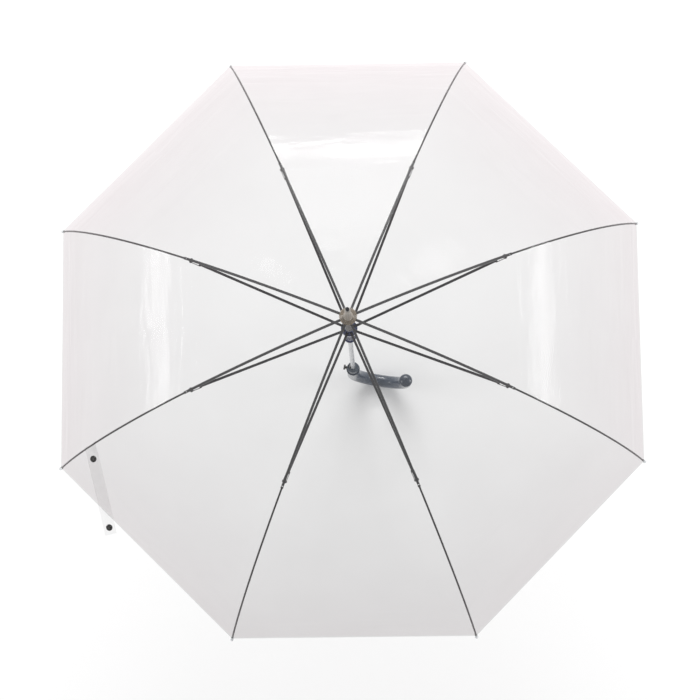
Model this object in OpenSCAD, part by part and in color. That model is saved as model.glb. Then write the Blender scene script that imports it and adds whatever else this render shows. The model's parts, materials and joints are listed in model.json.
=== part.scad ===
// Stick umbrella with a clear film canopy, eight jointed ribs, a sliding runner,
// a push-button latch and a crook handle. Millimetres, +Z up, origin on the shaft
// axis at the middle of the straight grip.

/* [Canopy] */
// Distance from the shaft axis to the outer end of a rib
rib_reach = 500; // [430:5:600]
// Height from the rib pivots down to the ribs' outer ends
canopy_drop = 301; // [270:1:330]
// Thickness of the clear film
film_t = 0.4; // [0.2:0.1:0.8]
// Gap between neighbouring film panels along a rib
panel_gap = 0.4; // [0.3:0.1:1]
// Length of a rib's plastic end tip
tip_len = 10; // [8:0.5:14]
// Radius of a rib's plastic end tip
tip_r = 2.2; // [1.9:0.1:3]

/* [Ribs and stretchers] */
// Distance from the shaft axis to the rib's mid joint
joint_reach = 262; // [225:2:280]
// Height from the rib pivots down to the mid joint
joint_drop = 60.5; // [54:0.5:68]
// Angle below level of the rib at the mid joint
joint_slope = 25.4; // [24:0.2:28]
// Width of the steel rib channel
chan_w = 3.6; // [3.2:0.1:4]
// Height of the steel rib channel
chan_h = 3; // [2.6:0.1:3.4]
// Sheet thickness of the channel
chan_t = 0.6; // [0.4:0.05:0.8]
// Radius of the glass-fibre outer rod
rod_r = 1.4; // [1.1:0.1:1.5]
// Radius of the rivets at the mid joint
rivet_r = 0.8; // [0.6:0.1:1]
// Distance along the rib from the mid joint back to the stretcher rivet
rivet_back = 9; // [8:0.5:12]
// Distance from the rib's centre line down to the stretcher rivet
rivet_low = 3.6; // [3.4:0.1:4.4]
// Length of the fork at the stretcher's outer end
fork_len = 14; // [13:0.5:18]

/* [Crown and runner] */
// Radius of the circle of rib pivots
pivot_r = 9; // [9:0.25:11]
// Radius of the wire that the ribs hang on
wire_r = 0.6; // [0.5:0.05:0.7]
// Radius of the crown disc
crown_r = 11.5; // [11.25:0.25:14]
// Radius of the runner's slotted head
head_r = 12.5; // [12:0.25:14]
// Radius of the runner's sleeve
sleeve_r = 7.5; // [6.5:0.25:9]
// Length of the runner's sleeve below its pivots
sleeve_len = 94; // [70:1:94]
// Radius of the runner's bottom rim
rim_r = 9.5; // [9.5:0.25:11]

/* [Shaft and ferrule] */
// Radius of the steel shaft
shaft_r = 4; // [3.5:0.25:4.5]
// Wall of the steel shaft
shaft_wall = 0.7; // [0.5:0.1:1]
// Height of the rib pivots above the middle of the grip
crown_z = 655; // [640:1:760]
// Height of the ferrule above the rib pivots
ferrule_len = 75; // [60:1:95]
// Radius of the ferrule's foot
ferrule_foot_r = 7; // [6:0.25:8]
// Radius of the ferrule's black end
ferrule_tip_r = 3; // [2.6:0.1:3.6]
// Radius of the canopy cap
cap_r = 13; // [12:0.5:15]

/* [Handle] */
// Radius of the crook tube
grip_r = 11; // [9:0.5:13]
// Length of the straight grip
grip_len = 62; // [50:1:80]
// Radius of the crook's centre line
crook_r = 47.5; // [38:0.5:58]
// Rise of the crook's free end above the bend
crook_rise = 18; // [10:1:30]
// Turn of the crook about the shaft
crook_turn = -10; // [-22:1:22]
// Height of the collar above the grip
collar_len = 28; // [26:1:34]
// Radius of the collar
collar_r = 9.75; // [9.25:0.25:10.5]
// Reach of the push button past the collar
button_out = 7; // [5:0.5:9]

/* [Closing strap] */
// Width of the strap
strap_w = 19; // [15:1:24]
// Length of the strap in plan
strap_len = 138; // [120:2:150]
// Thickness of the strap
strap_t = 0.6; // [0.4:0.1:1]
// Radius of a snap cap
snap_r = 5.2; // [4.5:0.1:6]
// Distance between the two snaps in plan
snap_gap = 107; // [85:1:115]
// Tilt of the strap's free part below level
strap_tilt = 20; // [5:1:35]

/* [Hidden] */
$fn = 64;
step = 45;
first = 22.5;
fit = 0.05;
free = 0.3;
eye_r = 2;
joint_eye_r = chan_h / 2 + 0.1;
eye_w = chan_w - 0.6;
slot_w = chan_w + 0.5;
wire_hole = wire_r + fit;
spring_r = shaft_r + 1.6;
spring_wire = 0.5;
spring_turns = 15;
cheek_t = 0.7;
joint_eye_w = chan_w - 2 * cheek_t - 0.4;
cheek_in = joint_eye_w / 2 + 0.2;
cheek_out = cheek_in + cheek_t;
fork_in = cheek_out + free;
fork_out = fork_in + cheek_t;
c45 = cos(step / 2);

// The rib's curve in its own upright plane, [distance from axis, height over pivots]
p_pivot = [pivot_r, 0];
p_joint = [joint_reach, -joint_drop];
p_end = [rib_reach, -canopy_drop];
function slope(a, b) = atan2(a[1] - b[1], b[0] - a[0]);
in_chord = slope(p_pivot, p_joint);
in_half = joint_slope - in_chord;
in_rad = norm(p_joint - p_pivot) / 2 / sin(in_half);
in_start = in_chord - in_half;
out_chord = slope(p_joint, p_end);
out_half = out_chord - joint_slope;
out_rad = norm(p_end - p_joint) / 2 / sin(out_half);
out_end = out_chord + out_half;
in_mid = p_joint - in_rad * [sin(joint_slope), cos(joint_slope)];
out_mid = p_joint - out_rad * [sin(joint_slope), cos(joint_slope)];
along = [cos(joint_slope), -sin(joint_slope)];
across = [sin(joint_slope), cos(joint_slope)];
p_rivet = p_joint - rivet_back * along - rivet_low * across;
p_runner = [pivot_r, 2 * p_rivet[1]];
st_len = norm(p_rivet - p_runner);
st_rise = -slope(p_runner, p_rivet);

// Film: the same curve lifted off the rib, seen square to a panel's straight hem
lift = chan_h / 2 + free + 0.5;
function on_arc(mid, rad, a) = mid + (rad + lift) * [sin(a), cos(a)];
function flat(p) = [p[0] * c45, p[1]];
// A cap reaches past the crown before the film settles on the ribs
cone_out = flat(on_arc(in_mid, in_rad, in_start + 1));
crown_top = eye_r + free + 1;
cone_foot = [crown_r + 5, on_arc(in_mid, in_rad, in_start + 0.9)[1]];
cone_top = [shaft_r + 0.8, cone_foot[1] + 0.42 * (crown_r + 5 - shaft_r - 0.8)];
film_in = in_start + 2 * asin((crown_r + 5 - pivot_r) / 2 / in_rad / c45);
function mid3(a, b, c) =
    let (d = 2 * (a[0] * (b[1] - c[1]) + b[0] * (c[1] - a[1]) + c[0] * (a[1] - b[1])))
    [(a * a * (b[1] - c[1]) + b * b * (c[1] - a[1]) + c * c * (a[1] - b[1])) / d,
     (a * a * (c[0] - b[0]) + b * b * (a[0] - c[0]) + c * c * (b[0] - a[0])) / d];
f_a = flat(on_arc(in_mid, in_rad, film_in));
f_b = flat(on_arc(in_mid, in_rad, (film_in + joint_slope) / 2));
f_c = flat(on_arc(in_mid, in_rad, joint_slope));
f_d = flat(on_arc(out_mid, out_rad, (joint_slope + out_end) / 2));
f_e = flat(on_arc(out_mid, out_rad, out_end));
m_in = mid3(f_a, f_b, f_c);
// The outer arc starts square to where the inner one ends
to_mid = (m_in - f_c) / norm(m_in - f_c);
m_out = f_c + to_mid * ((f_e - f_c) * (f_e - f_c) / 2 / ((f_e - f_c) * to_mid));
function dip(m, p) = atan2(p[0] - m[0], p[1] - m[1]);
hem_u = f_e[0];
hem_z = f_e[1];
hem_dip = dip(m_out, f_e);

grip_top = grip_len / 2;
collar_z = grip_top;
collar_top = collar_z + collar_len;
button_z = collar_top - 17;
latch_z = collar_top - 10;
latch_t = 1;
latch_in = shaft_r + 1.4;
latch_out = latch_in + latch_t;
latch_axis = latch_in + latch_t / 2;
latch_w = 4;
nose_r = 1.4;
nose_in = latch_out + 0.8;

module at_rib(k) {
    translate([0, 0, crown_z])
        rotate([0, 0, first + step * (k - 1)])
            children();
}

module at_panel(k) {
    translate([0, 0, crown_z])
        rotate([0, 0, first + step * (k - 1) + step / 2])
            children();
}

// Sweep a flat section round an arc in the upright plane, from slope a to slope b
module arc(mid, rad, a, b) {
    translate([mid[0], 0, mid[1]])
        rotate([90, 0, 0])
            rotate([0, 0, 90 - b])
                rotate_extrude(angle = b - a, $fn = 96)
                    translate([rad, 0])
                        children();
}

// Cross pin centred on a point of the upright plane
module cross(p, r, w) {
    translate([p[0], 0, p[1]])
        rotate([90, 0, 0])
            cylinder(r = r, h = w, center = true, $fn = 32);
}

module channel_section() {
    polygon([[-chan_h / 2, -chan_w / 2], [chan_h / 2, -chan_w / 2],
             [chan_h / 2, chan_w / 2], [-chan_h / 2, chan_w / 2],
             [-chan_h / 2, chan_w / 2 - chan_t], [chan_h / 2 - chan_t, chan_w / 2 - chan_t],
             [chan_h / 2 - chan_t, chan_t - chan_w / 2], [-chan_h / 2, chan_t - chan_w / 2]]);
}

// Side plate of the mid joint, drawn with X along the rib and Y across it
module cheek_face() {
    union() {
        circle(r = joint_eye_r);
        translate([-rivet_back - 3, -chan_h / 2])
            square([rivet_back + 3, chan_h]);
        translate([-rivet_back - 3, -rivet_low])
            square([6, rivet_low]);
        translate([-rivet_back, -rivet_low])
            circle(r = 2.4);
    }
}

module cheek(side) {
    translate([p_joint[0], 0, p_joint[1]])
        rotate([0, joint_slope, 0])
            rotate([90, 0, 0])
                translate([0, 0, side > 0 ? cheek_in : -cheek_out])
                    linear_extrude(cheek_t)
                        cheek_face();
}

module rib(k) {
    short = 3.4 / in_rad * 180 / PI;
    color("dimgray")
        at_rib(k)
            difference() {
                union() {
                    arc(in_mid, in_rad, in_start, joint_slope - short)
                        channel_section();
                    cross(p_pivot, eye_r, eye_w);
                    cheek(1);
                    cheek(-1);
                    cross(p_joint, rivet_r, 2 * cheek_out + 0.6);
                    cross(p_rivet, rivet_r, 2 * fork_out + 1.2);
                    for (s = [-1, 1])
                        translate([0, s * (fork_out + 0.5), 0])
                            cross(p_rivet, rivet_r + 0.6, 0.6);
                }
                cross(p_pivot, wire_hole, chan_w + 2);
            }
}

module rib_outer(k) {
    rod_from = (joint_eye_r + free) / out_rad * 180 / PI;
    color("darkgray")
        at_rib(k)
            difference() {
                union() {
                    arc(out_mid, out_rad, joint_slope + rod_from, out_end)
                        circle(r = rod_r, $fn = 32);
                    cross(p_joint, joint_eye_r, joint_eye_w);
                    translate([p_joint[0], 0, p_joint[1]])
                        rotate([0, joint_slope, 0])
                            translate([0, -joint_eye_w / 2, -rod_r * 0.7])
                                cube([joint_eye_r + free + 1.5, joint_eye_w, rod_r * 1.4]);
                    translate([p_end[0], 0, p_end[1]])
                        rotate([0, 90 + out_end, 0])
                            translate([0, 0, -1])
                                cylinder(r = rod_r - fit, h = 1 + tip_len * 0.6, $fn = 32);
                }
                cross(p_joint, rivet_r + fit, chan_w + 2);
            }
}

module rib_tip(k) {
    color("gainsboro")
        at_rib(k)
            translate([p_end[0], 0, p_end[1]])
                rotate([0, 90 + out_end, 0])
                    difference() {
                        union() {
                            translate([0, 0, 1])
                                cylinder(r = tip_r, h = tip_len - 1, $fn = 32);
                            translate([0, 0, tip_len])
                                sphere(r = tip_r + 0.4, $fn = 32);
                        }
                        translate([0, 0, -1])
                            cylinder(r = rod_r, h = 1 + tip_len * 0.6, $fn = 32);
                    }
}

module stretcher(k) {
    color("dimgray")
        at_rib(k)
            translate([p_runner[0], 0, p_runner[1]])
                rotate([0, -st_rise, 0])
                    difference() {
                        union() {
                            rotate([90, 0, 90])
                                linear_extrude(st_len - fork_len)
                                    rotate(-90)
                                        mirror([1, 0])
                                            channel_section();
                            cross([0, 0], eye_r, eye_w);
                            translate([st_len - fork_len - 2, -fork_out, -chan_h / 2])
                                cube([3, 2 * fork_out, chan_h]);
                            for (s = [-1, 1])
                                translate([0, s * (fork_in + cheek_t / 2), 0]) {
                                    translate([st_len - fork_len, -cheek_t / 2, -chan_h / 2])
                                        cube([fork_len, cheek_t, chan_h]);
                                    cross([st_len, 0], 2.2, cheek_t);
                                }
                        }
                        cross([0, 0], wire_hole, chan_w + 2);
                        cross([st_len, 0], rivet_r + fit, 4 * fork_out);
                    }
}

module wedge(low, high) {
    edge = panel_gap / 2 / sin(step / 2);
    far = rib_reach * 1.2;
    translate([0, 0, low])
        linear_extrude(high - low)
            polygon([[edge, 0], [far, -(far - edge) * tan(step / 2)],
                     [far, (far - edge) * tan(step / 2)]]);
}

// One curved band of film, swept square to the hem
module band(mid, a, b, thick, up) {
    rad = norm(b - mid) + up;
    arc(mid, rad, dip(mid, a), dip(mid, b))
        translate([0, -rib_reach])
            square([thick, 2 * rib_reach]);
}

module film_cone() {
    rotate([90, 0, 0])
        translate([0, 0, -crown_r * 2])
            linear_extrude(crown_r * 4)
                polygon([cone_top + [-1, 0.42], cone_top + [-1, 0.42 + film_t * 1.1],
                         f_a + [0.6, film_t * 0.75], f_a + [0.4, film_t * 0.12]]);
}

module canopy_panel(k) {
    color("whitesmoke", 0.4)
        at_panel(k)
            difference() {
                intersection() {
                    union() {
                        band(m_in, f_a, f_c, film_t, 0);
                        band(m_out, f_c, f_e, film_t, 0);
                        film_cone();
                    }
                    wedge(-canopy_drop * 1.3, 40);
                }
                translate([0, 0, -40])
                    cylinder(r = shaft_r + 0.8, h = 100);
            }
}

module shaft() {
    color("silver")
        difference() {
            translate([0, 0, -grip_top + 6])
                cylinder(r = shaft_r, h = crown_z + 20 + grip_top - 6);
            translate([0, 0, -grip_top + 7])
                cylinder(r = shaft_r - shaft_wall, h = crown_z + 20 + grip_top);
        }
}

cap_low = cone_top[1] + film_t * 1.1 + free;

module canopy_cap() {
    color("lightgray")
        translate([0, 0, crown_z])
            rotate_extrude()
                polygon([[shaft_r, cap_low], [shaft_r, cap_low + 2.2], [shaft_r + 3, cap_low + 2.2],
                         [cap_r, cap_low - 0.42 * (cap_r - shaft_r) + 1.6],
                         [cap_r, cap_low - 0.42 * (cap_r - shaft_r) + 0.8],
                         [shaft_r + 1.5, cap_low]]);
}

module ferrule() {
    foot = cap_low + 2.2;
    color("gainsboro")
        translate([0, 0, crown_z])
            rotate_extrude()
                polygon([[shaft_r, foot], [ferrule_foot_r, foot], [ferrule_foot_r, foot + 3],
                         [ferrule_foot_r - 1.4, foot + 5], [ferrule_tip_r + 1.2, ferrule_len - 14],
                         [ferrule_tip_r, ferrule_len - 9], [0, ferrule_len - 9], [0, 20.2],
                         [shaft_r, 20.2]]);
}

module ferrule_cap() {
    color("black")
        translate([0, 0, crown_z + ferrule_len - 9])
            union() {
                cylinder(r = ferrule_tip_r, h = 9 - 1.2);
                translate([0, 0, 7.8])
                    cylinder(r1 = ferrule_tip_r, r2 = ferrule_tip_r - 1.2, h = 1.2);
            }
}

// Ring of straight wire lengths, one square to each rib
module wire_ring(r) {
    half = pivot_r * tan(step / 2);
    for (k = [1:8])
        rotate([0, 0, first + step * (k - 1)])
            translate([pivot_r, 0, 0]) {
                rotate([90, 0, 0])
                    cylinder(r = r, h = 2 * half, center = true, $fn = 32);
                translate([0, half, 0])
                    sphere(r = r, $fn = 32);
            }
}

// Ring-shaped space that the wire lies in, between the slots
module wire_groove() {
    in = pivot_r - wire_hole - 0.1;
    out = pivot_r / c45 + wire_hole + 0.1;
    rotate_extrude()
        translate([in, -wire_hole])
            square([out - in, 2 * wire_hole]);
}

module slots(low, high) {
    for (k = [1:8])
        rotate([0, 0, first + step * (k - 1)])
            translate([pivot_r - eye_r - free, -slot_w / 2, low])
                cube([crown_r + 5, slot_w, high - low]);
}

module crown() {
    color("tan")
        translate([0, 0, crown_z])
            difference() {
                union() {
                    translate([0, 0, -4])
                        cylinder(r = crown_r, h = crown_top + 4);
                    translate([0, 0, -8])
                        cylinder(r = shaft_r + 2, h = 5);
                }
                translate([0, 0, -20])
                    cylinder(r = shaft_r, h = 40);
                slots(-10, eye_r + free);
                wire_groove();
            }
}

module crown_wire() {
    color("silver")
        translate([0, 0, crown_z])
            wire_ring(wire_r);
}

module runner() {
    color("darkslateblue")
        translate([0, 0, crown_z + p_runner[1]])
            difference() {
                union() {
                    translate([0, 0, -7])
                        cylinder(r = head_r, h = 11);
                    translate([0, 0, -14])
                        cylinder(r1 = sleeve_r, r2 = head_r, h = 7);
                    translate([0, 0, -sleeve_len])
                        cylinder(r = sleeve_r, h = sleeve_len);
                    translate([0, 0, -sleeve_len])
                        cylinder(r = rim_r, h = 5);
                    for (z = [1:5])
                        translate([0, 0, -sleeve_len + 14 + 6 * z])
                            cylinder(r = sleeve_r + 0.6, h = 2);
                }
                translate([0, 0, -sleeve_len - 5])
                    cylinder(r = shaft_r + 0.08, h = sleeve_len + 30);
                slots(-eye_r - free, 20);
                wire_groove();
                rotate([0, 0, crook_turn + 180])
                    translate([shaft_r - 1, -latch_w / 2 - 0.5, -sleeve_len - 1])
                        cube([rim_r, latch_w + 1, 9]);
            }
}

module runner_wire() {
    color("silver")
        translate([0, 0, crown_z + p_runner[1]])
            wire_ring(wire_r);
}

// Round wire coiled on a helix, eight-sided
module buffer_spring() {
    low = p_runner[1] + 4 + free;
    high = -8;
    turns = spring_turns;
    per = 14;
    n = turns * per;
    sides = 6;
    pitch = (high - low - 2 * spring_wire) / turns;
    rings = [for (i = [0:n]) for (j = [0:sides - 1])
        let (a = 360 * i / per, b = 360 * j / sides,
             r = spring_r + spring_wire * cos(b),
             z = low + spring_wire + pitch * i / per + spring_wire * sin(b))
        [r * cos(a), r * sin(a), z]];
    walls = [for (i = [0:n - 1]) for (j = [0:sides - 1])
        let (j2 = (j + 1) % sides)
        [i * sides + j, i * sides + j2, (i + 1) * sides + j2, (i + 1) * sides + j]];
    color("gray")
        translate([0, 0, crown_z])
            polyhedron(points = rings, faces = concat(walls,
                [[for (j = [sides - 1:-1:0]) j]],
                [[for (j = [0:sides - 1]) n * sides + j]]));
}

module handle() {
    color("slategray")
        rotate([0, 0, crook_turn])
            difference() {
                union() {
                    translate([0, 0, -grip_top])
                        cylinder(r = grip_r, h = grip_len);
                    translate([crook_r, 0, -grip_top])
                        rotate([90, 0, 0])
                            rotate([0, 0, 180])
                                rotate_extrude(angle = 180, $fn = 96)
                                    translate([crook_r, 0])
                                        circle(r = grip_r);
                    translate([2 * crook_r, 0, -grip_top])
                        cylinder(r = grip_r, h = crook_rise);
                }
                translate([0, 0, -grip_top + 6])
                    cylinder(r = shaft_r, h = grip_len);
            }
}

module handle_end() {
    color("slategray")
        rotate([0, 0, crook_turn])
            translate([2 * crook_r, 0, -grip_top + crook_rise])
                difference() {
                    union() {
                        cylinder(r = grip_r + 0.6, h = 3);
                        translate([0, 0, 3])
                            intersection() {
                                translate([0, 0, -grip_r * 0.9])
                                    sphere(r = norm([grip_r + 0.6, grip_r * 0.9]));
                                cylinder(r = grip_r + 0.6, h = grip_r);
                            }
                    }
                    translate([0, 0, 3 + norm([grip_r + 0.6, grip_r * 0.9]) - grip_r * 0.9 - 1])
                        cylinder(r = 3, h = 6);
                }
}

module facing() {
    rotate([0, 0, crook_turn + 180])
        children();
}

module collar() {
    color("slategray")
        facing()
            difference() {
                union() {
                    translate([0, 0, collar_z])
                        cylinder(r = collar_r, h = collar_len);
                    translate([0, 0, collar_z])
                        cylinder(r = grip_r + 0.8, h = 4);
                }
                translate([0, 0, collar_z - 1])
                    cylinder(r = shaft_r, h = collar_len + 2);
                translate([shaft_r, 0, button_z])
                    rotate([0, 90, 0])
                        cylinder(r = 2.5 + 0.08, h = collar_r, $fn = 48);
                translate([shaft_r - 1, -latch_w / 2 - free, button_z - 4])
                    cube([latch_out + 1.8 - shaft_r + 1, latch_w + 2 * free, 40]);
                translate([latch_axis, 0, latch_z])
                    rotate([90, 0, 0])
                        cylinder(r = 0.7, h = 12, center = true, $fn = 32);
            }
}

module button() {
    color("black")
        facing()
            translate([0, 0, button_z])
                rotate([0, 90, 0])
                    union() {
                        translate([0, 0, nose_in])
                            cylinder(r = nose_r, h = 4, $fn = 48);
                        translate([0, 0, nose_in + 1.2])
                            cylinder(r = 2.5, h = collar_r + button_out - nose_in - 2, $fn = 48);
                        translate([0, 0, collar_r + button_out - 3])
                            cylinder(r = 4.5, h = 3, $fn = 48);
                    }
}

module latch() {
    color("silver")
        facing()
            difference() {
                union() {
                    translate([latch_in, -latch_w / 2, button_z - 2.5])
                        cube([latch_t, latch_w, collar_top - button_z + 10]);
                    translate([latch_axis, 0, latch_z])
                        rotate([90, 0, 0])
                            cylinder(r = 1.25, h = latch_w, center = true, $fn = 32);
                    translate([latch_in - 0.8, -latch_w / 2, collar_top + 5.5])
                        cube([latch_t + 0.8, latch_w, 2]);
                }
                translate([latch_axis, 0, latch_z])
                    rotate([90, 0, 0])
                        cylinder(r = 0.7 + fit, h = 12, center = true, $fn = 32);
            }
}

module latch_pin() {
    color("silver")
        facing()
            translate([latch_axis, 0, latch_z])
                rotate([90, 0, 0])
                    cylinder(r = 0.7, h = 11.8, center = true, $fn = 32);
}

// The strap is welded to the fifth panel and its free part runs on past the hem
strap_panel = 5;
strap_aim = 57;
snap_u = hem_u - 51.5;
snap_v = -hem_u * tan(step / 2) + 43;
rad_film = norm(f_e - m_out);
leave_dip = asin((snap_u - snap_r - 2 - m_out[0]) / rad_film);
function on_film(up) = m_out + (rad_film + up) * [sin(leave_dip), cos(leave_dip)];
leave = on_film(film_t + free);

module on_strap() {
    at_panel(strap_panel)
        children();
}

module strap() {
    color("whitesmoke", 0.5)
        on_strap()
            intersection() {
                union() {
                    band(m_out, f_d, on_film(0), strap_t, film_t + free);
                    translate([leave[0], -rib_reach, leave[1]])
                        rotate([0, strap_tilt, 0])
                            cube([strap_len * 1.2, 2 * rib_reach, strap_t]);
                }
                translate([snap_u, snap_v, -canopy_drop * 2])
                    rotate([0, 0, strap_aim])
                        translate([-20, -strap_w / 2, 0])
                            cube([strap_len, strap_w, canopy_drop * 2 + 20]);
            }
}

// Height of the strap's free part over a plan distance u from the axis
function face_z(u) = leave[1] - (u - leave[0]) * tan(strap_tilt) + strap_t / cos(strap_tilt);

module on_face(d) {
    u = snap_u + d * cos(strap_aim);
    v = snap_v + d * sin(strap_aim);
    on_strap()
        translate([u, v, face_z(u)])
            rotate([0, strap_tilt, 0])
                children();
}

module snap(d, h) {
    on_face(d)
        translate([0, 0, fit])
            union() {
                cylinder(r = snap_r, h = 0.9, $fn = 48);
                translate([0, 0, 0.9])
                    cylinder(r1 = snap_r, r2 = snap_r - 1.2, h = 0.7, $fn = 48);
                cylinder(r = 2, h = h, $fn = 48);
            }
}

module snap_socket() {
    color("black")
        snap(0, 2.2);
}

module snap_stud() {
    color("black")
        snap(snap_gap, 3.2);
}

rib(1);  // rib_1
rib(2);  // rib_2
rib(3);  // rib_3
rib(4);  // rib_4
rib(5);  // rib_5
rib(6);  // rib_6
rib(7);  // rib_7
rib(8);  // rib_8
rib_outer(1);  // rib_outer_1
rib_outer(2);  // rib_outer_2
rib_outer(3);  // rib_outer_3
rib_outer(4);  // rib_outer_4
rib_outer(5);  // rib_outer_5
rib_outer(6);  // rib_outer_6
rib_outer(7);  // rib_outer_7
rib_outer(8);  // rib_outer_8
stretcher(1);  // stretcher_1
stretcher(2);  // stretcher_2
stretcher(3);  // stretcher_3
stretcher(4);  // stretcher_4
stretcher(5);  // stretcher_5
stretcher(6);  // stretcher_6
stretcher(7);  // stretcher_7
stretcher(8);  // stretcher_8
rib_tip(1);  // rib_tip_1
rib_tip(2);  // rib_tip_2
rib_tip(3);  // rib_tip_3
rib_tip(4);  // rib_tip_4
rib_tip(5);  // rib_tip_5
rib_tip(6);  // rib_tip_6
rib_tip(7);  // rib_tip_7
rib_tip(8);  // rib_tip_8
canopy_panel(1);  // canopy_panel_1
canopy_panel(2);  // canopy_panel_2
canopy_panel(3);  // canopy_panel_3
canopy_panel(4);  // canopy_panel_4
canopy_panel(5);  // canopy_panel_5
canopy_panel(6);  // canopy_panel_6
canopy_panel(7);  // canopy_panel_7
canopy_panel(8);  // canopy_panel_8
shaft();
ferrule();
ferrule_cap();
canopy_cap();
crown();
crown_wire();
runner();
runner_wire();
buffer_spring();
handle();
handle_end();
collar();
button();
latch();
latch_pin();
strap();
snap_stud();
snap_socket();
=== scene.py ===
import json
import math

import bmesh
import bpy
from mathutils import Matrix, Vector


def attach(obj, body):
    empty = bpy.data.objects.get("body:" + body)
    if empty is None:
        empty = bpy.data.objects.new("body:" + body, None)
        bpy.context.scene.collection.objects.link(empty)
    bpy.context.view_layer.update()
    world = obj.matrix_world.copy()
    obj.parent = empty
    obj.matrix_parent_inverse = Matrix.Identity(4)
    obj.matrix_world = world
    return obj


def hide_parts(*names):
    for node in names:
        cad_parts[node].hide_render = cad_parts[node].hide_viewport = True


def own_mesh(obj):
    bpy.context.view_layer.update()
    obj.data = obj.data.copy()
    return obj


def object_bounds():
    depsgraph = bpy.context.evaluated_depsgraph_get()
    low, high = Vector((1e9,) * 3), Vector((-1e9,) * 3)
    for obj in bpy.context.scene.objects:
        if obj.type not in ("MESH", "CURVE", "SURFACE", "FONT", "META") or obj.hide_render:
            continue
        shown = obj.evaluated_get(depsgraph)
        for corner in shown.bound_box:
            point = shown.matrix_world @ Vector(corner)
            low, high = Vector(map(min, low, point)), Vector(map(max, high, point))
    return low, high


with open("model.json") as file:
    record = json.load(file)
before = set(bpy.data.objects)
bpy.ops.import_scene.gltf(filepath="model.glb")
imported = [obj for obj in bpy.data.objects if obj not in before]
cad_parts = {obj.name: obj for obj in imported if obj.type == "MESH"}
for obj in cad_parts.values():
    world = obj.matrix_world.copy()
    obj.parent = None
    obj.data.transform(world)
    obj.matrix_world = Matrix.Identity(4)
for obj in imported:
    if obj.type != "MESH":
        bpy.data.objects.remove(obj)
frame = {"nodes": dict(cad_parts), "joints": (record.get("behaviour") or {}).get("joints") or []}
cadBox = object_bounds()  # the CAD model's own box
nodes = frame["nodes"]
joints = {j["name"]: j for j in frame["joints"]}
print("frame loaded:", len(nodes), "CAD nodes")


# shader helpers
def newMaterial(name):
    material = bpy.data.materials.new(name)
    material.use_nodes = True
    return material, material.node_tree, material.node_tree.nodes["Principled BSDF"]


def addNode(tree, kind, **values):
    node = tree.nodes.new(kind)
    for key, value in values.items():
        setattr(node, key, value)
    return node


def makeGroup(name, inputs, outputs):
    group = bpy.data.node_groups.new(name, "ShaderNodeTree")
    for label, kind, value in inputs:
        socket = group.interface.new_socket(name=label, in_out="INPUT", socket_type=kind)
        socket.default_value = value
    for label, kind in outputs:
        group.interface.new_socket(name=label, in_out="OUTPUT", socket_type=kind)
    return group, addNode(group, "NodeGroupInput"), addNode(group, "NodeGroupOutput")


def useGroup(tree, group, **values):
    node = addNode(tree, "ShaderNodeGroup", node_tree=group)
    for label, value in values.items():
        node.inputs[label].default_value = value
    return node


def mapped(tree, scale=(1, 1, 1)):
    coord = addNode(tree, "ShaderNodeTexCoord")
    mapping = addNode(tree, "ShaderNodeMapping")
    mapping.inputs["Scale"].default_value = scale
    tree.links.new(coord.outputs["Object"], mapping.inputs["Vector"])
    return mapping.outputs["Vector"]


# fine mottling: shifts a colour and a roughness a little, and gives a height
grainGroup, grainIn, grainOut = makeGroup("mouldedGrain", [
    ("Vector", "NodeSocketVector", (0, 0, 0)), ("Colour", "NodeSocketColor", (0.5, 0.5, 0.5, 1)),
    ("Scale", "NodeSocketFloat", 300.0), ("Tint", "NodeSocketFloat", 0.12),
    ("Roughness", "NodeSocketFloat", 0.4), ("Spread", "NodeSocketFloat", 0.1)],
    [("Colour", "NodeSocketColor"), ("Roughness", "NodeSocketFloat"), ("Height", "NodeSocketFloat")])
fine = addNode(grainGroup, "ShaderNodeTexNoise")
fine.inputs["Detail"].default_value = 4
broad = addNode(grainGroup, "ShaderNodeTexNoise")
broad.inputs["Scale"].default_value = 22
broad.inputs["Detail"].default_value = 3
shade = addNode(grainGroup, "ShaderNodeMix", data_type="RGBA", blend_type="MULTIPLY")
depth = addNode(grainGroup, "ShaderNodeMapRange")
depth.inputs["To Min"].default_value = 0.72
depth.inputs["To Max"].default_value = 1.2
rough = addNode(grainGroup, "ShaderNodeMath", operation="MULTIPLY_ADD")
lift = addNode(grainGroup, "ShaderNodeMath", operation="SUBTRACT")
lift.inputs[1].default_value = 0.5
grainGroup.links.new(grainIn.outputs["Vector"], fine.inputs["Vector"])
grainGroup.links.new(grainIn.outputs["Scale"], fine.inputs["Scale"])
grainGroup.links.new(grainIn.outputs["Vector"], broad.inputs["Vector"])
grainGroup.links.new(broad.outputs["Fac"], depth.inputs["Value"])
grainGroup.links.new(grainIn.outputs["Tint"], shade.inputs["Factor"])
grainGroup.links.new(grainIn.outputs["Colour"], shade.inputs["A"])
grainGroup.links.new(depth.outputs["Result"], shade.inputs["B"])
grainGroup.links.new(fine.outputs["Fac"], lift.inputs[0])
grainGroup.links.new(lift.outputs["Value"], rough.inputs[0])
grainGroup.links.new(grainIn.outputs["Spread"], rough.inputs[1])
grainGroup.links.new(grainIn.outputs["Roughness"], rough.inputs[2])
grainGroup.links.new(shade.outputs["Result"], grainOut.inputs["Colour"])
grainGroup.links.new(rough.outputs["Value"], grainOut.inputs["Roughness"])
grainGroup.links.new(fine.outputs["Fac"], grainOut.inputs["Height"])

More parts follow.
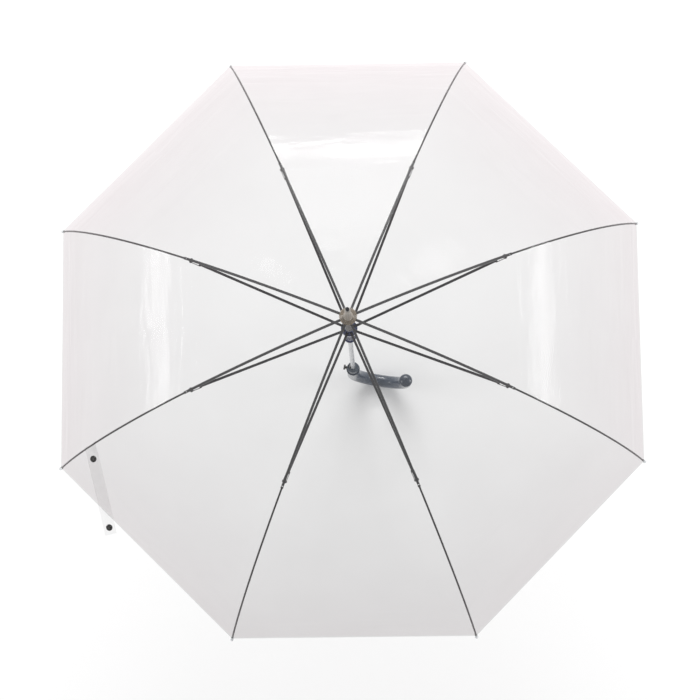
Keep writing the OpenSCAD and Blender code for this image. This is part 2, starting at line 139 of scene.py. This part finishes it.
# rubbed edges: a lighter colour where an edge is worn, broken up by noise
wearGroup, wearIn, wearOut = makeGroup("rubbedEdges", [
    ("Vector", "NodeSocketVector", (0, 0, 0)), ("Colour", "NodeSocketColor", (0.1, 0.1, 0.1, 1)),
    ("Bare", "NodeSocketColor", (0.5, 0.5, 0.5, 1)), ("Amount", "NodeSocketFloat", 0.3)],
    [("Colour", "NodeSocketColor"), ("Mask", "NodeSocketFloat")])
edge = addNode(wearGroup, "ShaderNodeNewGeometry")
band = addNode(wearGroup, "ShaderNodeMapRange")
band.inputs["From Min"].default_value = 0.52
band.inputs["From Max"].default_value = 0.62
patch = addNode(wearGroup, "ShaderNodeTexNoise")
patch.inputs["Scale"].default_value = 90
both = addNode(wearGroup, "ShaderNodeMath", operation="MULTIPLY")
much = addNode(wearGroup, "ShaderNodeMath", operation="MULTIPLY", use_clamp=True)
paint = addNode(wearGroup, "ShaderNodeMix", data_type="RGBA")
wearGroup.links.new(edge.outputs["Pointiness"], band.inputs["Value"])
wearGroup.links.new(wearIn.outputs["Vector"], patch.inputs["Vector"])
wearGroup.links.new(band.outputs["Result"], both.inputs[0])
wearGroup.links.new(patch.outputs["Fac"], both.inputs[1])
wearGroup.links.new(both.outputs["Value"], much.inputs[0])
wearGroup.links.new(wearIn.outputs["Amount"], much.inputs[1])
wearGroup.links.new(much.outputs["Value"], paint.inputs["Factor"])
wearGroup.links.new(wearIn.outputs["Colour"], paint.inputs["A"])
wearGroup.links.new(wearIn.outputs["Bare"], paint.inputs["B"])
wearGroup.links.new(paint.outputs["Result"], wearOut.inputs["Colour"])
wearGroup.links.new(much.outputs["Value"], wearOut.inputs["Mask"])

# soft ripples in stretched vinyl, with faint dust
rippleGroup, rippleIn, rippleOut = makeGroup("vinylRipples", [
    ("Vector", "NodeSocketVector", (0, 0, 0)), ("Run", "NodeSocketVector", (0, 0, 0)),
    ("Scale", "NodeSocketFloat", 9.0), ("Clear", "NodeSocketFloat", 0.1),
    ("Dust", "NodeSocketFloat", 0.03), ("Roughness", "NodeSocketFloat", 0.08)],
    [("Height", "NodeSocketFloat"), ("Alpha", "NodeSocketFloat"), ("Roughness", "NodeSocketFloat")])
slow = addNode(rippleGroup, "ShaderNodeTexNoise")
slow.inputs["Detail"].default_value = 6
slow.inputs["Roughness"].default_value = 0.52
slow.inputs["Distortion"].default_value = 0.6
specks = addNode(rippleGroup, "ShaderNodeTexNoise")
specks.inputs["Scale"].default_value = 12
specks.inputs["Detail"].default_value = 6
haze = addNode(rippleGroup, "ShaderNodeMapRange")
haze.inputs["From Min"].default_value = 0.35
haze.inputs["From Max"].default_value = 0.75
sheer = addNode(rippleGroup, "ShaderNodeMath", operation="MULTIPLY_ADD")
smudge = addNode(rippleGroup, "ShaderNodeMath", operation="MULTIPLY_ADD")
smudge.inputs[1].default_value = 0.06
rippleGroup.links.new(rippleIn.outputs["Run"], slow.inputs["Vector"])
rippleGroup.links.new(rippleIn.outputs["Scale"], slow.inputs["Scale"])
rippleGroup.links.new(rippleIn.outputs["Vector"], specks.inputs["Vector"])
rippleGroup.links.new(specks.outputs["Fac"], haze.inputs["Value"])
rippleGroup.links.new(haze.outputs["Result"], sheer.inputs[0])
rippleGroup.links.new(rippleIn.outputs["Dust"], sheer.inputs[1])
rippleGroup.links.new(rippleIn.outputs["Clear"], sheer.inputs[2])
rippleGroup.links.new(haze.outputs["Result"], smudge.inputs[0])
rippleGroup.links.new(rippleIn.outputs["Roughness"], smudge.inputs[2])
rippleGroup.links.new(slow.outputs["Fac"], rippleOut.inputs["Height"])
rippleGroup.links.new(sheer.outputs["Value"], rippleOut.inputs["Alpha"])
rippleGroup.links.new(smudge.outputs["Value"], rippleOut.inputs["Roughness"])


plasticIndex = 1.5  # refractive index of plastic, lacquer and film


def plasticOrMetal(name, colour, roughness=0.4, metallic=0.0, scale=300, tint=0.5, spread=0.15,
                   bump=0.1, bare=None, wear=0.0, clear=0.0, coat=0.0, stretch=(1, 1, 1)):
    material, tree, shader = newMaterial(name)
    vector = mapped(tree, stretch)
    grain = useGroup(tree, grainGroup, Colour=(*colour, 1), Scale=scale, Tint=tint,
                     Roughness=roughness, Spread=spread)
    tree.links.new(vector, grain.inputs["Vector"])
    surface = grain.outputs["Colour"]
    if wear:
        worn = useGroup(tree, wearGroup, Bare=(*bare, 1), Amount=wear)
        tree.links.new(vector, worn.inputs["Vector"])
        tree.links.new(surface, worn.inputs["Colour"])
        surface = worn.outputs["Colour"]
    tree.links.new(surface, shader.inputs["Base Color"])
    tree.links.new(grain.outputs["Roughness"], shader.inputs["Roughness"])
    relief = addNode(tree, "ShaderNodeBump")
    relief.inputs["Strength"].default_value = bump
    relief.inputs["Distance"].default_value = 0.0003
    tree.links.new(grain.outputs["Height"], relief.inputs["Height"])
    tree.links.new(relief.outputs["Normal"], shader.inputs["Normal"])
    shader.inputs["Metallic"].default_value = metallic
    shader.inputs["Transmission Weight"].default_value = clear
    shader.inputs["Coat Weight"].default_value = coat
    shader.inputs["Coat Roughness"].default_value = 0.08
    shader.inputs["IOR"].default_value = plasticIndex
    return material


# what every sheet of film shares: rim is how much denser it looks when seen edge on
filmLook = {"roughness": 0.07, "grain": 1.0, "facing": 0.3, "rim": 0.35}


def vinyl(name, colour, edgeColour, clear, dust, ripple, distance=0.004, creases=(5, 34, 1)):
    material, tree, shader = newMaterial(name)
    film = useGroup(tree, rippleGroup, Scale=filmLook["grain"], Clear=clear, Dust=dust,
                    Roughness=filmLook["roughness"])
    tree.links.new(mapped(tree), film.inputs["Vector"])
    run = addNode(tree, "ShaderNodeUVMap", uv_map="run")
    stretched = addNode(tree, "ShaderNodeMapping")
    stretched.inputs["Scale"].default_value = creases
    tree.links.new(run.outputs["UV"], stretched.inputs["Vector"])
    tree.links.new(stretched.outputs["Vector"], film.inputs["Run"])
    facing = addNode(tree, "ShaderNodeLayerWeight")
    facing.inputs["Blend"].default_value = filmLook["facing"]
    warm = addNode(tree, "ShaderNodeMix", data_type="RGBA")
    warm.inputs["A"].default_value = (*colour, 1)
    warm.inputs["B"].default_value = (*edgeColour, 1)
    tree.links.new(facing.outputs["Facing"], warm.inputs["Factor"])
    tree.links.new(warm.outputs["Result"], shader.inputs["Base Color"])
    denser = addNode(tree, "ShaderNodeMath", operation="MULTIPLY_ADD", use_clamp=True)
    denser.inputs[1].default_value = filmLook["rim"]
    tree.links.new(facing.outputs["Facing"], denser.inputs[0])
    tree.links.new(film.outputs["Alpha"], denser.inputs[2])
    tree.links.new(denser.outputs["Value"], shader.inputs["Alpha"])
    tree.links.new(film.outputs["Roughness"], shader.inputs["Roughness"])
    relief = addNode(tree, "ShaderNodeBump")
    relief.inputs["Strength"].default_value = ripple
    relief.inputs["Distance"].default_value = distance
    tree.links.new(film.outputs["Height"], relief.inputs["Height"])
    tree.links.new(relief.outputs["Normal"], shader.inputs["Normal"])
    shader.inputs["IOR"].default_value = plasticIndex
    return material


finishes = {
    "ribSteel": dict(colour=(0.022, 0.022, 0.024), roughness=0.45, scale=900,
                     bare=(0.2, 0.2, 0.21), wear=0.3, bump=0.15),
    "rodFibre": dict(colour=(0.009, 0.009, 0.01), roughness=0.4, scale=1200, tint=0.8, bump=0.2),
    "capPlastic": dict(colour=(0.62, 0.55, 0.46), roughness=0.2, scale=500, clear=0.8, tint=0.6),
    "clearTip": dict(colour=(0.86, 0.88, 0.9), roughness=0.16, scale=500, clear=0.75, tint=0.3),
    "shaftSteel": dict(colour=(0.62, 0.63, 0.645), roughness=0.27, metallic=0.9, scale=500,
                       spread=0.2, bump=0.12, stretch=(1, 1, 0.04)),
    "springSteel": dict(colour=(0.4, 0.39, 0.38), roughness=0.3, metallic=1.0, scale=800, spread=0.3),
    "crownNylon": dict(colour=(0.28, 0.21, 0.14), roughness=0.42, scale=420, tint=0.7, bump=0.2,
                       bare=(0.55, 0.5, 0.42), wear=0.6),
    "smokyRunner": dict(colour=(0.07, 0.085, 0.19), roughness=0.2, scale=350, clear=0.35, tint=0.5,
                        bare=(0.25, 0.28, 0.36), wear=0.35, coat=0.3),
    "smokyGrip": dict(colour=(0.10, 0.125, 0.17), roughness=0.24, scale=260, clear=0.45, tint=0.6,
                      bare=(0.4, 0.46, 0.48), wear=0.35, coat=0.4),
    "paleFerrule": dict(colour=(0.33, 0.30, 0.26), roughness=0.32, scale=450, tint=0.5, bump=0.15,
                        bare=(0.8, 0.79, 0.76), wear=0.5),
    "blackNylon": dict(colour=(0.012, 0.012, 0.014), roughness=0.33, scale=600, tint=0.6, bump=0.2,
                       bare=(0.12, 0.12, 0.12), wear=0.4),
    "snapLacquer": dict(colour=(0.012, 0.012, 0.012), roughness=0.22, scale=700, tint=0.4, coat=0.5,
                        bare=(0.35, 0.33, 0.3), wear=0.4),
}
films = {
    "clearFilm": dict(colour=(0.10, 0.10, 0.10), edgeColour=(0.26, 0.09, 0.13), clear=0.21,
                      dust=0.02, ripple=0.45, creases=(5, 30, 1)),
    "seamFilm": dict(colour=(0.2, 0.2, 0.2), edgeColour=(0.28, 0.2, 0.22), clear=0.24,
                     dust=0.04, ripple=0.15),
    "hemFilm": dict(colour=(0.3, 0.32, 0.31), edgeColour=(0.32, 0.34, 0.33), clear=0.22,
                    dust=0.05, ripple=0.2),
    "strapFilm": dict(colour=(0.2, 0.2, 0.2), edgeColour=(0.22, 0.2, 0.2), clear=0.11,
                      dust=0.04, ripple=0.3, distance=0.001, creases=(30, 80, 1)),
}
materials = {name: plasticOrMetal(name, **values) for name, values in finishes.items()}
materials.update({name: vinyl(name, **values) for name, values in films.items()})

ribNumbers = range(1, 9)
nodeFinish = {"shaft": "shaftSteel", "ferrule": "paleFerrule", "ferrule_cap": "blackNylon",
              "canopy_cap": "capPlastic", "crown": "crownNylon", "crown_wire": "springSteel",
              "runner": "smokyRunner", "runner_wire": "springSteel", "buffer_spring": "springSteel",
              "handle": "smokyGrip", "handle_end": "smokyGrip", "collar": "smokyGrip",
              "button": "blackNylon", "latch": "springSteel", "latch_pin": "springSteel",
              "snap_stud": "snapLacquer", "snap_socket": "snapLacquer", "strap": "strapFilm"}
for k in ribNumbers:
    nodeFinish[f"rib_{k}"] = "ribSteel"
    nodeFinish[f"stretcher_{k}"] = "ribSteel"
    nodeFinish[f"rib_outer_{k}"] = "rodFibre"
    nodeFinish[f"rib_tip_{k}"] = "clearTip"
for name, finish in nodeFinish.items():
    nodes[name].data.materials.clear()
    nodes[name].data.materials.append(materials[finish])
print("materials set on", len(nodeFinish), "CAD nodes")


def smoothStep(x):
    x = max(0.0, min(1.0, x))
    return x * x * (3 - 2 * x)


def faceUp(mesh):
    if sum(face.normal.z for face in mesh.faces) < 0:
        bmesh.ops.reverse_faces(mesh, faces=mesh.faces[:])


def meshPiece(name, mesh, surfaces):
    data = bpy.data.meshes.new(name)
    mesh.to_mesh(data)
    mesh.free()
    for surface in surfaces:
        data.materials.append(surface)
    piece = bpy.data.objects.new(name, data)
    bpy.context.scene.collection.objects.link(piece)
    return piece


# the canopy film
canopy = {
    "reach": 0.5, "drop": 0.301, "jointSlope": 25.4,  # the rib's end, and its slope at the mid joint
    "lift": 0.0023,  # from the rib's middle line up to the film
    "centreHole": 0.0048, "capReach": 0.0165, "capSlope": 0.42,  # the cone under the cap
    "capRows": 5, "innerRows": 30, "outerRows": 36, "across": 14,
    "seam": 0.003, "seamMost": 0.45, "hem": 0.004, "hemRun": 0.36,
    "sag": 0.0035, "sagFrom": 0.03, "sagOver": 0.12,  # how far the film dips between two ribs
    "taut": 0.75, "tautFrom": 0.40, "tautOver": 0.1,  # the dip that the hem takes out again
    "creaseStep": 2.3, "creaseLow": 0.4,  # where each gore's ripples start
    "keepTop": 0.05, "keepLow": 0.035,  # share of its width that a half gore keeps when folded
    "slack": 1.02}
foldPin = Vector(joints["fold_1"]["pos_m"])
flexPin = Vector(joints["flex_1"]["pos_m"])
crownZ = foldPin.z
pivotReach = math.hypot(foldPin.x, foldPin.y)
jointReach, jointDrop = math.hypot(flexPin.x, flexPin.y), crownZ - flexPin.z
halfAngle = 180 / len(ribNumbers)  # degrees from a rib to the middle of a gore
halfStep = math.radians(halfAngle)


def ribArc(start, end, slope, slopeAtEnd):
    chord = math.atan2(start[1] - end[1], end[0] - start[0])
    half = (slope - chord) if slopeAtEnd else (chord - slope)
    radius = math.hypot(end[0] - start[0], end[1] - start[1]) / 2 / math.sin(half)
    at = end if slopeAtEnd else start
    centre = (at[0] - radius * math.sin(slope), at[1] - radius * math.cos(slope))
    return {"centre": centre, "radius": radius, "first": chord - half, "last": chord + half,
            "chord": chord}


slopeHere = math.radians(canopy["jointSlope"])
innerArc = ribArc((pivotReach, 0), (jointReach, -jointDrop), slopeHere, True)
outerArc = ribArc((jointReach, -jointDrop), (canopy["reach"], -canopy["drop"]), slopeHere, False)


def filmLine(arc, rows, fromReach=None):
    first, radius = arc["first"], arc["radius"] + canopy["lift"]
    if fromReach:
        first = math.asin((fromReach - arc["centre"][0]) / radius)
    angles = [first + (arc["last"] - first) * i / rows for i in range(rows + 1)]
    return [(arc["centre"][0] + radius * math.sin(angle), arc["centre"][1] + radius * math.cos(angle))
            for angle in angles]


# heights of the film over the pivots, from the shaft outwards along a rib
innerLine = filmLine(innerArc, canopy["innerRows"], canopy["capReach"])
footReach, footHeight = innerLine[0]
hole = canopy["centreHole"] / math.cos(halfStep)
coneShares = [i / canopy["capRows"] for i in range(canopy["capRows"])]
innerLine = [(hole + (footReach - hole) * share,
              footHeight + canopy["capSlope"] * (footReach - hole) * (1 - share) * math.cos(halfStep))
             for share in coneShares] + innerLine
outerLine = filmLine(outerArc, canopy["outerRows"])


def localPoint(turn, reach, height, side, along):
    # along runs from 0 at the rib to 1 at the middle of the gore, square to the gore's middle line
    width = reach * math.sin(halfStep) * along
    x, y = reach - width * math.sin(halfStep), side * width * math.cos(halfStep)
    return Vector((x * math.cos(turn) - y * math.sin(turn),
                   x * math.sin(turn) + y * math.cos(turn), crownZ + height))


def rowPlace(line, row, outer):
    rows = len(line) - 1
    if outer and row == rows - 1:  # the last row but one is where the hem starts
        share = 1 - canopy["hem"] / canopy["hemRun"] * rows
        return [a + (b - a) * share for a, b in zip(line[rows - 1], line[rows])]
    return line[row]


def acrossShare(widest, column):
    # the first strip of faces is the seam, and the rest share what is left
    if column == 0:
        return 0.0
    seamShare = min(canopy["seamMost"], canopy["seam"] / widest)
    return seamShare + (1 - seamShare) * (column - 1) / (canopy["across"] - 1)


def dip(reach, along):
    pull = math.sin(math.pi / 2 * along) ** 2 * smoothStep((reach - canopy["sagFrom"]) / canopy["sagOver"])
    return pull * (1 - canopy["taut"] * smoothStep((reach - canopy["tautFrom"]) / canopy["tautOver"]))


def goreMesh(k, side, turn, line, outer):
    mesh = bmesh.new()
    rows, across = len(line) - 1, canopy["across"]
    bmesh.ops.create_grid(mesh, x_segments=rows, y_segments=across, size=0.5)
    spots = {vert: (round((vert.co.x + 0.5) * rows), round((vert.co.y + 0.5) * across))
             for vert in mesh.verts}
    downs = [0.0]
    for a, b in zip(line, line[1:]):
        downs.append(downs[-1] + math.hypot(b[0] - a[0], b[1] - a[1]))
    start = canopy["creaseStep"] * k + (canopy["creaseLow"] if outer else 0)
    run = {}
    for vert, (row, column) in spots.items():
        reach, height = rowPlace(line, row, outer)
        widest = reach * math.sin(halfStep)
        along = acrossShare(widest, column)
        vert.co = localPoint(turn, reach, height, side, along)
        vert.co.z -= canopy["sag"] * dip(reach, along)
        run[vert] = (side * widest * along, start + downs[row])
    uvLayer = mesh.loops.layers.uv.new("run")
    for face in mesh.faces:
        face.smooth = True
        face.normal_update()
        for loop in face.loops:
            loop[uvLayer].uv = run[loop.vert]
        if outer and min(spots[vert][0] for vert in face.verts) >= rows - 1:
            face.material_index = 2
        elif max(spots[vert][1] for vert in face.verts) <= 1:
            face.material_index = 1
    faceUp(mesh)
    return mesh


def halfGore(name, k, side, line, outer):
    turn = math.radians(halfAngle * (2 * k - 1))
    mesh = goreMesh(k, side, turn, line, outer)
    area = sum(face.calc_area() for face in mesh.faces)
    piece = meshPiece(name, mesh, [materials[film] for film in ("clearFilm", "seamFilm", "hemFilm")])
    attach(piece, f"outer_body_{k}" if outer else f"rib_body_{k}")
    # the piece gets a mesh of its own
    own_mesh(piece)
    return piece


for k in ribNumbers:
    for side, mark in ((1, "left"), (-1, "right")):
        halfGore(f"film_{k}_{mark}_top", k, side, innerLine, False)
        halfGore(f"film_{k}_{mark}_low", k, side, outerLine, True)
    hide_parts(f"canopy_panel_{k}")
print("canopy film: 32 half gores, each folding with its rib")

# the closing strap: welded along its inner end, then standing clear of the film
strap = {
    "panel": 5, "aim": 57.0, "tilt": 20.0,  # degrees from the gore's middle line, and downwards
    "width": 0.019, "length": 0.138, "start": -0.02, "flatShare": 1.12,
    "snapIn": 0.0515, "snapSide": 0.043, "snapRadius": 0.0052,  # the inner snap, from the hem's corner
    "leaveGap": 0.002, "underCap": 0.0003,
    "over": 0.0014, "soft": 0.006, "settle": 0.6, "flatBelow": -30,  # how it eases off the film
    "curl": 0.00048, "curlFrom": 0.02, "curlOver": 0.08,
    "rows": 46, "across": 8}
hemOut = outerLine[-1][0] * math.cos(halfStep)
snapOut = hemOut - strap["snapIn"]
snapSide = strap["snapSide"] - hemOut * math.tan(halfStep)
aim, strapTilt = math.radians(strap["aim"]), math.radians(strap["tilt"])
strapTurn = Matrix.Rotation(math.radians(2 * halfAngle * strap["panel"]), 3, "Z")
leaveOut = snapOut - strap["snapRadius"] - strap["leaveGap"]
socket = nodes["snap_socket"]
capLow = min((socket.matrix_world @ vert.co).z for vert in socket.data.vertices) - crownZ
leaveHeight = (capLow + strap["snapRadius"] * math.sin(strapTilt) - strap["underCap"]
               + (snapOut - leaveOut) * math.tan(strapTilt))


def filmHeight(out):
    reach = out / math.cos(halfStep) - outerArc["centre"][0]
    return outerArc["centre"][1] + math.sqrt((outerArc["radius"] + canopy["lift"]) ** 2 - reach ** 2)


def strapPoint(down, wide):
    out = snapOut + down * math.cos(aim) - wide * math.sin(aim)
    side = snapSide + down * math.sin(aim) + wide * math.cos(aim)
    onFilm = filmHeight(min(out, hemOut)) + strap["over"]
    free = leaveHeight - (out - leaveOut) * math.tan(strapTilt)
    rise = (free - onFilm) / strap["soft"]
    eased = rise + math.log(1 + math.exp(-rise)) if rise > strap["flatBelow"] else 0
    eased -= math.log(2) * math.exp(-abs(rise)) * strap["settle"]
    cupped = (wide / strap["width"] * 2) ** 2 * smoothStep((down - strap["curlFrom"]) / strap["curlOver"])
    height = onFilm + strap["soft"] * eased + strap["curl"] * cupped
    return strapTurn @ Vector((out, side, height)) + Vector((0, 0, crownZ))


def strapStrip():
    mesh = bmesh.new()
    bmesh.ops.create_grid(mesh, x_segments=strap["rows"], y_segments=strap["across"], size=0.5)
    uvLayer = mesh.loops.layers.uv.new("run")
    spots = {vert: (strap["start"] + (vert.co.x + 0.5) * strap["length"], vert.co.y * strap["width"])
             for vert in mesh.verts}
    for face in mesh.faces:
        face.smooth = True
        for loop in face.loops:
            loop[uvLayer].uv = spots[loop.vert]
    for vert, (down, wide) in spots.items():
        vert.co = strapPoint(down, wide)
    bmesh.ops.recalc_face_normals(mesh, faces=mesh.faces)
    faceUp(mesh)
    area = sum(face.calc_area() for face in mesh.faces)
    return meshPiece("strapStrip", mesh, [materials["strapFilm"]]), area


strapPiece, strapArea = strapStrip()
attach(strapPiece, "outer_body_5")
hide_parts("strap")
print("strap strip made, area", round(strapArea * 1e6), "mm2")


# the camera looks down on the canopy, a little off the shaft's line
viewing = {"elevation": 82.4, "turn": 5.1, "roll": -5.8, "distance": 3.049, "lens": 97.7,
           "sensor": 36, "farEnd": 60, "rimDrop": 0.3026, "right": 0.000421, "up": 0.002684}
tilt, roll = math.radians(viewing["elevation"]), math.radians(viewing["roll"])
orbit = Matrix.Rotation(math.radians(viewing["turn"]), 3, "Z")
back = orbit @ Vector((0, -math.cos(tilt), math.sin(tilt)))
sideways = orbit @ Vector((1, 0, 0))
upward = back.cross(sideways)
camRight = sideways * math.cos(roll) + upward * math.sin(roll)
camUp = upward * math.cos(roll) - sideways * math.sin(roll)
camPlace = Vector((0, 0, crownZ - viewing["rimDrop"])) + back * viewing["distance"]
camPlace -= (camRight * viewing["right"] + camUp * viewing["up"]) * viewing["distance"]
camData = bpy.data.cameras.new("camera")
camData.lens = viewing["lens"]
camData.sensor_width = viewing["sensor"]
camData.clip_end = viewing["farEnd"]
camera = bpy.data.objects.new("camera", camData)
bpy.context.scene.collection.objects.link(camera)
camTurn = Matrix((camRight, camUp, back)).transposed()
camera.matrix_world = Matrix.Translation(camPlace) @ camTurn.to_4x4()
bpy.context.scene.camera = camera

# the floor and the sky
studio = {"floorSize": 14.0, "floorGap": 0.001, "floorColour": (0.93, 0.93, 0.93),
          "floorRoughness": 0.9, "floorShine": 0.1, "sky": (1.0, 1.0, 1.0), "skyPower": 0.655}
paper, _, paperShader = newMaterial("paleFloor")
paperShader.inputs["Base Color"].default_value = (*studio["floorColour"], 1)
paperShader.inputs["Roughness"].default_value = studio["floorRoughness"]
paperShader.inputs["Specular IOR Level"].default_value = studio["floorShine"]
floorMesh = bmesh.new()
bmesh.ops.create_grid(floorMesh, x_segments=1, y_segments=1, size=studio["floorSize"] / 2)
bmesh.ops.translate(floorMesh, vec=(0, 0, cadBox[0].z - studio["floorGap"]), verts=floorMesh.verts)
floor = meshPiece("floor", floorMesh, [paper])

bpy.context.scene.view_settings.view_transform = "Standard"  # keeps the white paper white
world = bpy.data.worlds.new("studio")
bpy.context.scene.world = world
world.use_nodes = True
background = world.node_tree.nodes["Background"]
background.inputs["Color"].default_value = (*studio["sky"], 1)
background.inputs["Strength"].default_value = studio["skyPower"]

# a large key light far behind, and three low strips that glance off the film
lights = {
    "keyLight": dict(place=(0.3, 6.0, 5.0), size=(6.0, 4.0), power=320, target=(0, 0, 0)),
    "rightLight": dict(place=(2.3, 0.0, 1.16), size=(1.1, 0.34), power=12, target=(0.35, 0, 0.6)),
    "leftLight": dict(place=(-2.3, 0.0, 1.16), size=(1.1, 0.34), power=12, target=(-0.35, 0, 0.6)),
    "backLight": dict(place=(0.0, 2.3, 1.12), size=(1.1, 0.26), power=16, target=(0, 0.35, 0.6)),
}


def softBox(name, place, size, power, target):
    lamp = bpy.data.lights.new(name, "AREA")
    lamp.shape = "RECTANGLE"
    lamp.size, lamp.size_y = size
    lamp.energy = power
    box = bpy.data.objects.new(name, lamp)
    bpy.context.scene.collection.objects.link(box)
    box.location = place
    box.rotation_euler = (Vector(target) - Vector(place)).to_track_quat("-Z", "Y").to_euler()


for name, values in lights.items():
    softBox(name, **values)
print("camera, floor and lights set")
